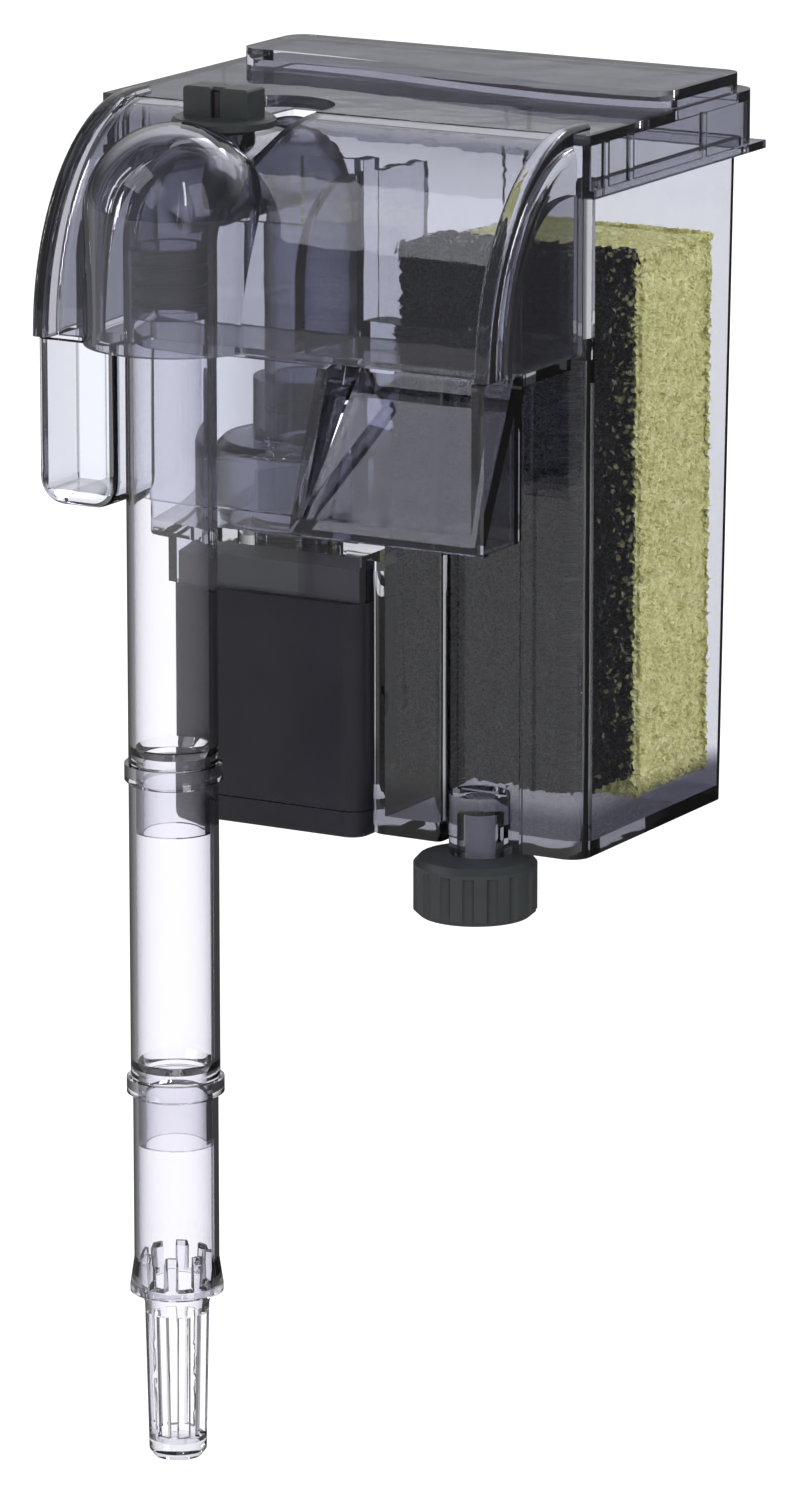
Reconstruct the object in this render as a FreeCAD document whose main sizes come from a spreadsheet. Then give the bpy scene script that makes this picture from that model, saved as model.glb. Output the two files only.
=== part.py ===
"""Hang-on back filter for a small aquarium, as separate solids in one frame.

Millimetres, +Z up. The origin is on the underside of the bridge that rests on the tank's rim, in the plane
of the case's front wall, half way across its width. +X is to the right seen from the tank, +Y points away
from the tank.
"""
import FreeCAD
import Part
import math
import os
import Sketcher
from FreeCAD import Vector

SIZES = {
    # case: a media chamber on the right, a shallower pump chamber on the left
    "wall": 1.6,
    "case_half": 38.0,
    "case_floor": -71.4,
    "case_top": 27.0,
    "rear_top": 48.0,
    "rear_bottom": 45.0,
    "base_plate": 2.0,
    "chamber_left": 2.6,
    "pump_floor": -31.0,
    "skirt_bottom": -37.5,
    "partition_left": 0.6,
    "partition_top": 25.0,
    "partition_step": 12.0,
    "partition_rear": 40.0,
    "weir_top": 4.0,
    "recess_left": 15.0,
    "recess_right": 27.6,
    "recess_depth": 3.0,
    "case_round": 3.0,
    "rear_round": 2.6,
    # bridge, glass wall, leg and chute on the tank side
    "bridge_plate": 1.8,
    "gap_depth": 14.2,
    "drop_depth": 22.0,
    "tank_front": 26.0,
    "tank_half": 37.0,
    "leg_width": 13.0,
    "leg_round": 4.0,
    "skirt_gap_top": 2.1,
    "chute_top_left": 9.8,
    "chute_low_left": 5.0,
    "cheek_half": 35.8,
    # lid and hood
    "lid_top": 34.0,
    "lid_skirt": 25.0,
    "lid_wall": 1.75,
    "lid_gap": 0.25,
    "hood_reach": 23.8,
    "hood_low": 2.4,
    "hood_round": 4.0,
    "rail_reach": 26.4,
    "rail_width": 2.6,
    "bulge_side": -16.8,
    "bulge_front": -20.3,
    "bulge_radius": 13.2,
    "plateau_rise": 2.5,
    "opening_radius": 9.0,
    # plumbing
    "pipe_side": -15.4,
    "intake_front": -24.0,
    "pump_back": 16.0,
    "pipe_radius": 6.5,
    "pipe_bore": 5.2,
    "eye_radius": 4.4,
    "crown_height": 24.4,
    "bend_radius": 7.0,
    "elbow_low": 17.2,
    "spigot_radius": 5.44,
    "spigot_bore": 4.4,
    "spigot_length": 10.0,
    "seal_pitch": 2.8,
    "tube_bore": 5.5,
    "rim_radius": 7.1,
    "upper_end": -58.0,
    "middle_end": -104.7,
    "lower_end": -137.0,
    "strainer_end": -162.2,
    "strainer_radius": 4.7,
    "strainer_slots": 8,
    # flow control
    "knob_front": -9.0,
    "spindle_radius": 2.0,
    "knob_radius": 7.5,
    "knob_low": 32.2,
    "knob_top": 37.8,
    "grip_half": 5.3,
    "grip_thickness": 4.9,
    # pump
    "motor_left": -30.0,
    "motor_right": 2.3,
    "motor_front": -1.0,
    "motor_back": 34.0,
    "motor_low": -72.6,
    "motor_seam": -68.6,
    "motor_top": -37.7,
    "neck_top": -33.0,
    "well_radius": 7.3,
    "well_bore": 5.9,
    "well_floor": -62.0,
    "shaft_radius": 1.0,
    "cord_height": -49.0,
    "magnet_radius": 5.3,
    "impeller_radius": 9.0,
    "blade_count": 6,
    "cover_radius": 13.5,
    "cover_top": -17.0,
    "socket_top": -8.0,
    "coil_half": 4.1,
    "core_half": 12.0,
    "core_front": 5.0,
    "core_back": 30.5,
    "core_low": -60.5,
    "core_top": -48.5,
    "limb_half": 5.0,
    "yoke_front": 24.5,
    "cord_radius": 1.8,
    "cord_bend": 5.0,
    "cord_drop": 17.0,
    # levelling knob
    "leveller_side": 20.0,
    "leveller_back": 3.0,
    "leveller_offset": 1.5,
    "leveller_radius": 9.0,
    "leveller_top": -72.9,
    "leveller_low": -81.6,
    "leveller_flutes": 16,
    "pin_radius": 2.2,
    "boss_radius": 4.6,
    "boss_height": 9.0,
    "boss_bore_depth": 6.1,
    # media
    "media_gap": 0.5,
    "media_split": 19.6,
    "media_back": 43.0,
    "coarse_low": -63.4,
    "fine_low": -67.0,
    "media_top": 15.0,
    # clearances
    "running_gap": 0.05,
    "fit_gap": 0.1,
}

DOC = FreeCAD.newDocument("HangOnBackFilter")
SHEET = DOC.addObject("Spreadsheet::Sheet", "Sizes")
PARTS = []
UP = Vector(0, 0, 1)


def fill_sheet():
    for row, (name, number) in enumerate(SIZES.items(), start=1):
        SHEET.set(f"A{row}", name.replace("_", " "))
        SHEET.set(f"B{row}", str(number))
        SHEET.setAlias(f"B{row}", name)
    DOC.recompute()


def size(name):
    return float(SHEET.get(name))


def bound(text):
    """An expression written with bare size names, with the sheet's name put before each of them."""
    words = str(text).replace("(", " ( ").replace(")", " ) ").split()
    return " ".join(f"Sizes.{word}" if word in SIZES else word for word in words)


def number(text):
    return float(SHEET.evalExpression(bound(text)))


# ---------------------------------------------------------------- PartDesign helpers

ROLES = {"XY": "XY_Plane", "YZ": "YZ_Plane", "XZ": "XZ_Plane"}


def new_body(label):
    body = DOC.addObject("PartDesign::Body", label)
    body.Label = label
    PARTS.append(body)
    return body


def new_sketch(body, name, plane, offset):
    sketch = body.newObject("Sketcher::SketchObject", name)
    origin_plane = next(o for o in body.Origin.OriginFeatures if o.Role == ROLES[plane])
    sketch.AttachmentSupport = [(origin_plane, "")]
    sketch.MapMode = "FlatFace"
    sketch.setExpression("AttachmentOffset.Base.z", bound(offset))
    return sketch


def pin_point(sketch, geometry, end, place, tag):
    """Ties one end of a sketch element to the origin, both ways, by sheet expressions."""
    for axis, kind, text in ((-2, "DistanceX", place[0]), (-1, "DistanceY", place[1])):
        if str(text) == "0":
            sketch.addConstraint(Sketcher.Constraint("PointOnObject", geometry, end, axis))
            continue
        index = sketch.addConstraint(Sketcher.Constraint(kind, -1, 1, geometry, end, number(text)))
        sketch.renameConstraint(index, f"{kind}{tag}")
        sketch.setExpression(f"Constraints.{kind}{tag}", bound(text))


def polygon(sketch, points):
    corners = [Vector(number(a), number(b), 0) for a, b in points]
    count = len(points)
    for i in range(count):
        sketch.addGeometry(Part.LineSegment(corners[i], corners[(i + 1) % count]))
    for i in range(count):
        sketch.addConstraint(Sketcher.Constraint("Coincident", i, 2, (i + 1) % count, 1))
        pin_point(sketch, i, 1, points[i], i)


def circle(sketch, centre, radius):
    middle = Vector(number(centre[0]), number(centre[1]), 0)
    index = sketch.addGeometry(Part.Circle(middle, UP, number(radius)))
    pin_point(sketch, index, 3, centre, index)
    place = sketch.addConstraint(Sketcher.Constraint("Radius", index, number(radius)))
    sketch.renameConstraint(place, f"Radius{index}")
    sketch.setExpression(f"Constraints.Radius{index}", bound(radius))


def extrude(body, name, plane, start, end, draw, cut=False):
    """Pads or pockets a sketch from start to end along the plane's axis. XZ runs from start towards -Y."""
    offset = f"-1 * ( {start} )" if plane == "XZ" else start
    length = f"( {start} ) - ( {end} )" if plane == "XZ" else f"( {end} ) - ( {start} )"
    before = body.Shape.Volume if body.Tip else 0.0
    sketch = new_sketch(body, f"{name}_sketch", plane, offset)
    draw(sketch)
    DOC.recompute()
    feature = body.newObject("PartDesign::Pocket" if cut else "PartDesign::Pad", name)
    feature.Profile = sketch
    feature.setExpression("Length", bound(length))
    feature.Reversed = cut
    body.Tip = feature
    DOC.recompute()
    change = body.Shape.Volume - before
    if (change >= 0) if cut else (change <= 0):
        raise RuntimeError(f"{body.Label}: {name} changes the volume by {change:.3f} mm3")
    return feature


def block(body, name, x_span, y_span, z_span, cut=False):
    left, right = x_span
    front, back = y_span
    corners = [(left, front), (right, front), (right, back), (left, back)]
    return extrude(body, name, "XY", z_span[0], z_span[1], lambda sketch: polygon(sketch, corners), cut)


def disc(body, name, centre, radius, z_span, cut=False):
    return extrude(body, name, "XY", z_span[0], z_span[1], lambda sketch: circle(sketch, centre, radius), cut)


def ring(body, name, centre, radii, z_span):
    """Cuts a ring-shaped groove."""
    def draw(sketch):
        for radius in radii:
            circle(sketch, centre, radius)
    return extrude(body, name, "XY", z_span[0], z_span[1], draw, cut=True)


def fillet(body, name, radius, choose):
    """Rounds the edges of the body that choose(edge) accepts."""
    base = body.Tip
    names = [f"Edge{i}" for i, edge in enumerate(base.Shape.Edges, start=1) if choose(edge)]
    if not names:
        raise RuntimeError(f"{body.Label}: {name} finds no edge")
    feature = body.newObject("PartDesign::Fillet", name)
    feature.Base = (base, names)
    feature.setExpression("Radius", bound(radius))
    body.Tip = feature
    DOC.recompute()
    return feature


def upright_at(x, y, low=-1000.0, high=1000.0):
    """Chooser for vertical edges at (x, y) that lie between two heights."""
    def choose(edge):
        box = edge.BoundBox
        straight = box.XLength < 0.01 and box.YLength < 0.01
        here = abs(box.XMin - x) < 0.02 and abs(box.YMin - y) < 0.02
        return straight and here and box.ZMin > low - 0.02 and box.ZMax < high + 0.02
    return choose


def any_of(*choosers):
    return lambda edge: any(choose(edge) for choose in choosers)


def turned(label, axis, points):
    """A body turned about the vertical line at axis = (x, y). points are (radius, height) expressions."""
    body = new_body(label)
    sketch = new_sketch(body, "profile", "XZ", 0)
    polygon(sketch, points)
    DOC.recompute()
    feature = body.newObject("PartDesign::Revolution", "turn")
    feature.Profile = sketch
    feature.ReferenceAxis = (sketch, ["V_Axis"])
    feature.Angle = 360.0
    body.Tip = feature
    body.setExpression("Placement.Base.x", bound(axis[0]))
    body.setExpression("Placement.Base.y", bound(axis[1]))
    DOC.recompute()
    return body


def polar(body, name, feature, count):
    pattern = body.newObject("PartDesign::PolarPattern", name)
    pattern.Originals = [feature]
    pattern.Axis = (feature.Profile[0], ["N_Axis"])
    pattern.Angle = 360.0
    pattern.setExpression("Occurrences", bound(count))
    body.Tip = pattern
    DOC.recompute()
    return pattern


# ---------------------------------------------------------------- case and lid

def rear_at(height):
    """Y of the sloping rear face at a height."""
    run = "( rear_top - rear_bottom )"
    return f"rear_bottom + {run} * ( ( {height} ) - case_floor ) / ( case_top - case_floor )"


def pump_profile():
    """Side view of the pump chamber's hollow."""
    floor = "pump_floor + base_plate"
    return [("wall", floor), (f"{rear_at('pump_floor')} - wall", floor),
            ("rear_top - wall", "case_top"), ("wall", "case_top")]


def outer_profile(low):
    """Side view of a chamber's outside, from a floor height up to the case's rim."""
    return [("0", low), (rear_at(low), low), ("rear_top", "case_top"), ("0", "case_top")]


def filter_case():
    body = new_body("filter_case")
    chambers(body)
    partition(body)
    motor_socket(body)
    tank_side(body)
    leg(body)
    chute(body)
    cheeks(body)
    leveller_boss(body)
    return body


def chambers(body):
    """Both chambers, the front recess, and the outer roundings made before the hollows."""
    extrude(body, "media_outer", "YZ", "chamber_left", "case_half",
            lambda sketch: polygon(sketch, outer_profile("case_floor")))
    extrude(body, "pump_outer", "YZ", "-1 * case_half", "chamber_left",
            lambda sketch: polygon(sketch, outer_profile("pump_floor")))
    block(body, "recess", ("recess_left", "recess_right"), ("-1", "recess_depth"),
          ("case_floor - 1", "-1 * bridge_plate - 2"), cut=True)
    front_corners = any_of(upright_at(size("case_half"), 0), upright_at(-size("case_half"), 0),
                           upright_at(size("chamber_left"), 0))
    fillet(body, "front_round", "case_round", front_corners)
    mouths = any_of(upright_at(size("recess_left"), 0), upright_at(size("recess_right"), 0))
    fillet(body, "mouth_round", "0.9", mouths)
    fillet(body, "rear_corner_round", "rear_round", any_of(rear_corner(-1), rear_corner(1)))
    extrude(body, "media_hollow", "YZ", "chamber_left + wall", "case_half - wall",
            lambda sketch: polygon(sketch, hollow_profile()), cut=True)
    extrude(body, "pump_hollow", "YZ", "wall - case_half", "partition_left",
            lambda sketch: polygon(sketch, pump_profile()), cut=True)


def rear_corner(side):
    """Chooser for the sloping corner edge between the rear face and one side face."""
    def choose(edge):
        limits = edge.BoundBox
        on_side = limits.XLength < 0.01 and abs(limits.XMin - side * size("case_half")) < 0.02
        return on_side and limits.YMin > size("rear_bottom") - 0.1 and limits.ZLength > 20
    return choose


def hollow_profile():
    """Side view of the media chamber's hollow, behind the front recess."""
    front = "recess_depth + wall"
    floor = "case_floor + base_plate"
    return [(front, floor), (f"{rear_at('case_floor')} - wall", floor),
            ("rear_top - wall", "case_top"), (front, "case_top")]


def partition(body):
    """The wall between the chambers stands left of the media chamber's lower wall, and steps down behind."""
    floor = "pump_floor + base_plate"
    right = "partition_left + wall"
    front = "recess_depth + wall"
    back = "rear_top - 2 * wall"
    block(body, "partition_step_out", (right, "chamber_left + wall"), (front, back),
          (floor, "case_top"), cut=True)
    block(body, "partition_top_cut", ("partition_left - 0.1", "chamber_left + wall"),
          (front, "partition_rear"), ("partition_top", "case_top"), cut=True)
    block(body, "partition_rear_cut", ("partition_left - 0.1", right), ("media_split", "partition_rear"),
          ("partition_step", "case_top"), cut=True)
    block(body, "passage", ("partition_left - 0.1", right), ("partition_rear", back),
          (f"{floor} + 6", "case_top"), cut=True)
    block(body, "weir", (f"{right} + 0.4", "case_half - wall - 0.8"), ("-1", f"{front} + 0.1"),
          ("weir_top", "case_top"), cut=True)
    notch = "pipe_radius + 1.2"
    block(body, "elbow_notch", (f"pipe_side - ( {notch} )", f"pipe_side + {notch}"), ("-1", "wall + 0.1"),
          (f"crown_height - ( {notch} )", "case_top"), cut=True)


def motor_socket(body):
    """Skirt under the pump chamber that the motor's neck plugs into, and the hole for its rotor well."""
    back = "motor_back + 1"
    block(body, "skirt", ("motor_left - 1", "chamber_left"), ("0", back), ("skirt_bottom", "pump_floor"))
    block(body, "skirt_hollow", ("motor_left + 0.6", "chamber_left - wall"), ("wall", f"{back} - wall"),
          ("skirt_bottom - 1", "pump_floor"), cut=True)
    disc(body, "well_hole", ("pipe_side", "pump_back"), "well_radius + 1.4",
         ("pump_floor - 0.1", "pump_floor + base_plate"), cut=True)


def tank_side(body):
    """Bridge over the glass and the wall that hangs inside the tank against it."""
    across = ("1 - tank_half", "tank_half - 1")
    front = "-1 * gap_depth - wall"
    block(body, "bridge", across, (front, "0.2"), ("0", "bridge_plate"))
    block(body, "glass_wall", across, (front, "-1 * gap_depth"), ("-1 * drop_depth", "0.1"))


def leg(body):
    """Hollow leg on the left, open at the top, closed below."""
    left = "-1 * tank_half"
    right = "leg_width - tank_half"
    back = "-1 * gap_depth - wall + 0.1"
    block(body, "leg_outer", (left, right), ("-1 * tank_front", back), ("-1 * drop_depth", "skirt_gap_top"))
    x_left = -size("tank_half")
    x_right = x_left + size("leg_width")
    low = -size("drop_depth")

    def low_corner(edge):
        box = edge.BoundBox
        along = box.XLength < 0.01 and box.ZLength < 0.01 and box.YLength > 5
        at_side = min(abs(box.XMin - x_left), abs(box.XMin - x_right)) < 0.02
        return along and at_side and abs(box.ZMin - low) < 0.02

    fillet(body, "leg_low_round", "leg_round", low_corner)
    fillet(body, "leg_front_round", "2", any_of(upright_at(x_left, -size("tank_front")),
                                                upright_at(x_right, -size("tank_front"))))
    block(body, "leg_hollow", (f"{left} + wall", f"{right} - wall"), ("wall - tank_front", f"{back} - 0.1"),
          ("wall - drop_depth + 0.6", "skirt_gap_top"), cut=True)


def chute(body):
    """Ramp, lip and side cheeks that carry the returning water down into the tank."""
    lip = "-1 * drop_depth + 1.6"
    right = "tank_half - 0.5"
    glass_side = "-1 * gap_depth - wall"
    ramp = [("0.2 - gap_depth", "bridge_plate"), ("0.2 - gap_depth", "0"),
            ("1.4 - tank_front", f"{lip} - 1.8"), ("-1 * tank_front", f"{lip} - 1.8"),
            ("-1 * tank_front", f"{lip} + 0.8"), (glass_side, "bridge_plate")]
    extrude(body, "ramp", "YZ", "chute_low_left + 0.4", right, lambda sketch: polygon(sketch, ramp))
    block(body, "right_cheek", (f"{right} - 2", right), ("-1 * tank_front", f"{glass_side} + 0.1"),
          ("-1 * drop_depth", "skirt_gap_top"))
    slant = [("chute_low_left", "-1 * drop_depth"), ("chute_low_left + 1.8", "-1 * drop_depth"),
             ("chute_top_left + 1.8", "skirt_gap_top"), ("chute_top_left", "skirt_gap_top")]
    extrude(body, "left_cheek", "XZ", f"{glass_side} + 0.1", "-1 * tank_front",
            lambda sketch: polygon(sketch, slant))
    block(body, "ramp_trim", ("partition_left + wall", "chute_top_left"),
          (f"{glass_side} - 4", f"{glass_side} - 0.05"), ("-1", "bridge_plate + 0.1"), cut=True)


def cheeks(body):
    """Curved walls on the bridge: one at each side and one that carries on the partition."""
    low = "bridge_plate - 0.1"
    back = "0.3"
    for name, left in (("cheek_left", "-1 * cheek_half"), ("cheek_middle", "partition_left"),
                       ("cheek_right", "cheek_half - wall")):
        block(body, name, (left, f"{left} + wall"), ("-1 * gap_depth - wall", back), (low, "partition_top"))
    front = -size("gap_depth") - size("wall")
    top = size("partition_top")

    def crest(edge):
        box = edge.BoundBox
        along = box.YLength < 0.01 and box.ZLength < 0.01 and box.XLength < 3
        return along and abs(box.YMin - front) < 0.02 and abs(box.ZMin - top) < 0.02

    fillet(body, "cheek_crest", "gap_depth - 1", crest)


def leveller_boss(body):
    """Round boss in the front recess that holds the levelling pin."""
    centre = ("leveller_side", "leveller_back")
    disc(body, "leveller_boss", centre, "boss_radius", ("leveller_top + 0.1", "leveller_top + boss_height"))
    disc(body, "leveller_bore", centre, "pin_radius + 0.02",
         ("leveller_top", "leveller_top + boss_bore_depth"), cut=True)


def box(x_span, y_span, z_span):
    """Part box between two corners, in numbers."""
    corner = Vector(x_span[0], y_span[0], z_span[0])
    return Part.makeBox(x_span[1] - x_span[0], y_span[1] - y_span[0], z_span[1] - z_span[0], corner)


def hood_prism(half, reach, low, top, round_edges):
    """Quarter ellipse in the YZ plane from the lid's top down to the hood's lower edge, drawn out along X."""
    back = 3.0
    ellipse = Part.Ellipse(Vector(-half, 0, top), Vector(-half, -reach, low), Vector(-half, 0, low))
    begin = ellipse.parameter(Vector(-half, -reach, low))
    end = ellipse.parameter(Vector(-half, 0, top))
    if abs(end - begin) > math.pi:
        begin, end = max(begin, end), min(begin, end) + 2 * math.pi
    arc = Part.ArcOfEllipse(ellipse, min(begin, end), max(begin, end))
    edges = [arc.toShape(),
             Part.makeLine(Vector(-half, 0, top), Vector(-half, back, top)),
             Part.makeLine(Vector(-half, back, top), Vector(-half, back, low)),
             Part.makeLine(Vector(-half, back, low), Vector(-half, -reach, low))]
    solid = Part.Face(Part.Wire(Part.__sortEdges__(edges))).extrude(Vector(2 * half, 0, 0))
    curved = [edge for edge in solid.Edges if edge.BoundBox.XLength < 0.01
              and edge.BoundBox.YLength > reach * 0.9 and edge.BoundBox.ZLength > (top - low) * 0.9]
    return solid.makeFillet(round_edges, curved)


def upright_edges(solid):
    return [edge for edge in solid.Edges if edge.BoundBox.XLength < 0.01 and edge.BoundBox.YLength < 0.01]


def bulge(radius, low):
    """Upright cylinder with a round head: room for the intake pipe."""
    side, front = size("bulge_side"), size("bulge_front")
    head = size("lid_top") - size("bulge_radius")
    tube = Part.makeCylinder(radius, head - low, Vector(side, front, low))
    return tube.fuse(Part.makeSphere(radius, Vector(side, front, head)))


def plateau(inset, low, top):
    """Raised rear part of the lid, whose front edge runs across in a shallow S."""
    left = 1 - size("case_half") + inset
    right = size("case_half") + 0.5 - inset
    back = size("rear_top") - inset
    places = ((left, 31.0), (left / 3, 29.6), (right * 0.36, 24.6), (right, 25.2))
    points = [Vector(x, y + inset, low) for x, y in places]
    front = Part.BSplineCurve()
    front.interpolate(points)
    edges = [front.toShape(), Part.makeLine(points[3], Vector(right, back, low)),
             Part.makeLine(Vector(right, back, low), Vector(left, back, low)),
             Part.makeLine(Vector(left, back, low), points[0])]
    solid = Part.Face(Part.Wire(Part.__sortEdges__(edges))).extrude(Vector(0, 0, top - low))
    return solid.makeFillet(3.0 - inset, upright_edges(solid))


def knob_opening():
    """Oblong hole through the lid around the flow knob."""
    radius, top = size("opening_radius"), size("lid_top") + 2
    low = size("lid_skirt") - 2
    near = Vector(size("pipe_side"), size("knob_front") + 1, low)
    far = Vector(size("pipe_side") + 2.4, 0.5, low)
    along = (far - near).normalize()
    aside = Vector(-along.y, along.x, 0) * radius
    sides = Part.makePolygon([near + aside, far + aside, far - aside, near - aside, near + aside])
    slab = Part.Face(sides).extrude(Vector(0, 0, top - low))
    ends = [Part.makeCylinder(radius, top - low, place) for place in (near, far)]
    return slab.multiFuse(ends)


def lid_outside():
    """Everything the lid fills before it is hollowed."""
    wall, gap = size("lid_wall"), size("lid_gap")
    half = size("case_half") + gap + wall
    back = size("rear_top") + gap + wall
    top, low, hood_low = size("lid_top"), size("lid_skirt"), size("hood_low")
    skirt = box((-half, half), (-2.0, back), (low, top))
    skirt = skirt.makeFillet(4.0, [edge for edge in upright_edges(skirt) if edge.BoundBox.YMin > 0])
    flange = box((-half - 0.7, half + 0.7), (-2.0, back + 0.7), (low, low + 1.2))
    hood = hood_prism(size("case_half"), size("hood_reach"), hood_low, top, size("hood_round"))
    rails = []
    for side in (-1, 1):
        middle = side * (size("case_half") - size("rail_width") / 2 - 0.6)
        rail = hood_prism(size("rail_width") / 2, size("rail_reach"), hood_low, top + 0.9, 0.9)
        rail.translate(Vector(middle, 0, 0))
        rails.append(rail)
    raised = plateau(0.0, top - 1, top + size("plateau_rise"))
    swell = bulge(size("bulge_radius"), hood_low)
    front = hood.multiFuse(rails).cut(box((-half, half), (-0.3, 9), (hood_low - 1, low)))
    return skirt.multiFuse([flange, front, raised, swell])


def lid_inside():
    """The hollow under the lid: over the case, under the hood, in the bulge and in the plateau."""
    wall, gap = size("lid_wall"), size("lid_gap")
    half, back = size("case_half") + gap, size("rear_top") + gap
    top, low, hood_low = size("lid_top") - wall, size("lid_skirt"), size("hood_low")
    over = box((-half, half), (-0.3, back), (low - 1, top))
    over = over.makeFillet(2.2, [edge for edge in upright_edges(over) if edge.BoundBox.YMin > 0])
    inner_half, inner_reach = size("case_half") - wall, size("hood_reach") - wall
    under = hood_prism(inner_half, inner_reach, hood_low, top, size("hood_round") - wall)
    mouth = box((-inner_half, inner_half), (0.01 - inner_reach, 0), (hood_low - 1, hood_low + 0.01))
    under = under.fuse(mouth)
    raised = plateau(wall, top - 1, size("lid_top") + size("plateau_rise") - wall)
    swell = bulge(size("bulge_radius") - wall, hood_low - 1)
    return over.multiFuse([under, raised, swell])


def lid_ribs():
    """Upright ribs on both side skirts."""
    half = size("case_half") + size("lid_gap") + size("lid_wall")
    low, top = size("lid_skirt"), size("lid_top") - 1.2
    return [box((side * half - 0.7, side * half + 0.7), (place - 0.6, place + 0.6), (low, top))
            for side in (-1, 1) for place in (2.0, 9.4, 31.6)]


def lid():
    whole = lid_outside().multiFuse(lid_ribs())
    solid = whole.cut(lid_inside()).cut(knob_opening()).removeSplitter()
    feature = DOC.addObject("Part::Feature", "lid")
    feature.Label = "lid"
    feature.Shape = solid.Solids[0]
    PARTS.append(feature)
    return feature


# ---------------------------------------------------------------- plumbing

INTAKE = ("pipe_side", "intake_front")
PUMP = ("pipe_side", "pump_back")
KNOB = ("pipe_side", "knob_front")


def bent_route(sketch, places, hubs, bend):
    """Straight lines between pairs of places, joined by clockwise quarter bends.

    Each bend is ((centre), angle): its arc runs from that angle to a quarter turn more."""
    spots = [Vector(number(a), number(b), 0) for a, b in places]
    for line, first in enumerate(range(0, len(places), 2)):
        sketch.addGeometry(Part.LineSegment(spots[first], spots[first + 1]))
        pin_point(sketch, line, 1, places[first], f"From{line}")
        pin_point(sketch, line, 2, places[first + 1], f"To{line}")
    for line, (hub, angle) in enumerate(hubs):
        centre = Vector(number(hub[0]), number(hub[1]), 0)
        round_line = Part.Circle(centre, UP, number(bend))
        arc = sketch.addGeometry(Part.ArcOfCircle(round_line, angle, angle + math.pi / 2))
        sketch.addConstraint(Sketcher.Constraint("Coincident", arc, 2, line, 2))
        sketch.addConstraint(Sketcher.Constraint("Coincident", arc, 1, line + 1, 1))


def pipe_path(sketch):
    """Inverted U in the YZ plane: up from the intake, over the bridge, down to the pump."""
    front, back, crown = "intake_front", "pump_back", "crown_height"
    knee = f"{crown} - bend_radius"
    first_hub, second_hub = (f"{front} + bend_radius", knee), (f"{back} - bend_radius", knee)
    places = [(front, "elbow_low"), (front, knee), (first_hub[0], crown), (second_hub[0], crown),
              (back, knee), (back, "cover_top + 0.2")]
    bent_route(sketch, places, [(first_hub, math.pi / 2), (second_hub, 0)], "bend_radius")


def sweep(body, name, radius, low, cut=False):
    """Adds or cuts a round pipe along the elbow's path."""
    path = new_sketch(body, f"{name}_path", "YZ", "pipe_side")
    pipe_path(path)
    profile = new_sketch(body, f"{name}_profile", "XY", low)
    circle(profile, ("pipe_side", "intake_front"), radius)
    DOC.recompute()
    feature = body.newObject("PartDesign::SubtractivePipe" if cut else "PartDesign::AdditivePipe", name)
    feature.Profile = profile
    feature.Spine = (path, [f"Edge{i}" for i in range(1, 6)])
    body.Tip = feature
    DOC.recompute()


def intake_elbow():
    """Rigid inverted-U pipe: spigot on the tank side, plain foot on the pump side, boss for the flow knob."""
    body = new_body("intake_elbow")
    spigot_span = ("elbow_low - spigot_length", "elbow_low + 0.5")
    boss_span = ("crown_height", "knob_low - 0.9")
    sweep(body, "pipe", "pipe_radius", "elbow_low")
    disc(body, "boss", KNOB, "4.4", boss_span)
    disc(body, "spigot", INTAKE, "spigot_radius", spigot_span)
    disc(body, "spigot_hole", INTAKE, "spigot_bore", spigot_span, cut=True)
    sweep(body, "bore", "pipe_bore", "elbow_low", cut=True)
    disc(body, "spindle_hole", KNOB, "spindle_radius + running_gap", boss_span, cut=True)
    for index, height in enumerate(seal_heights()):
        ring(body, f"spigot_groove_{index}", INTAKE, ("spigot_radius - 0.5", "spigot_radius + 1"),
             (f"{height} - 0.8", f"{height} + 0.8"))
    ring(body, "foot_groove", PUMP, ("pipe_radius - 0.6", "pipe_radius + 1"),
         ("cover_top + 4", "cover_top + 5.2"))
    return body


def seal_heights():
    """Heights of the three rubber rings on the elbow's spigot."""
    return [f"elbow_low - 2.4 - {step} * seal_pitch" for step in range(3)]


def spigot_end(end):
    """Lower end of a tube: it steps in to a thinner spigot that the next tube slides over."""
    return [("pipe_radius", f"{end} + fit_gap"), ("spigot_radius", f"{end} + fit_gap"),
            ("spigot_radius", f"{end} - spigot_length"), ("spigot_bore", f"{end} - spigot_length"),
            ("spigot_bore", f"{end} + 1.2"), ("tube_bore", f"{end} + 2.6")]


def intake_tube_upper():
    top = "elbow_low - fit_gap"
    return turned("intake_tube_upper", INTAKE,
                  [("tube_bore", top), ("pipe_radius", top)] + spigot_end("upper_end"))


def intake_tube_middle():
    top = "upper_end"
    return turned("intake_tube_middle", INTAKE,
                  [("tube_bore", top), ("rim_radius", top), ("rim_radius", f"{top} - 2.4"),
                   ("pipe_radius", f"{top} - 3.0")] + spigot_end("middle_end"))


def intake_tube_lower():
    top, end, outside = "middle_end", "lower_end", "pipe_radius - 0.3"
    return turned("intake_tube_lower", INTAKE,
                  [("tube_bore", top), ("rim_radius", top), ("rim_radius", f"{top} - 2.2"),
                   (outside, f"{top} - 2.8"), (outside, f"{end} + 5"), ("pipe_radius + 0.3", f"{end} + 1"),
                   ("pipe_radius + 0.3", end), ("tube_bore + 0.3", end), ("tube_bore", f"{end} + 1")])


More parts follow.
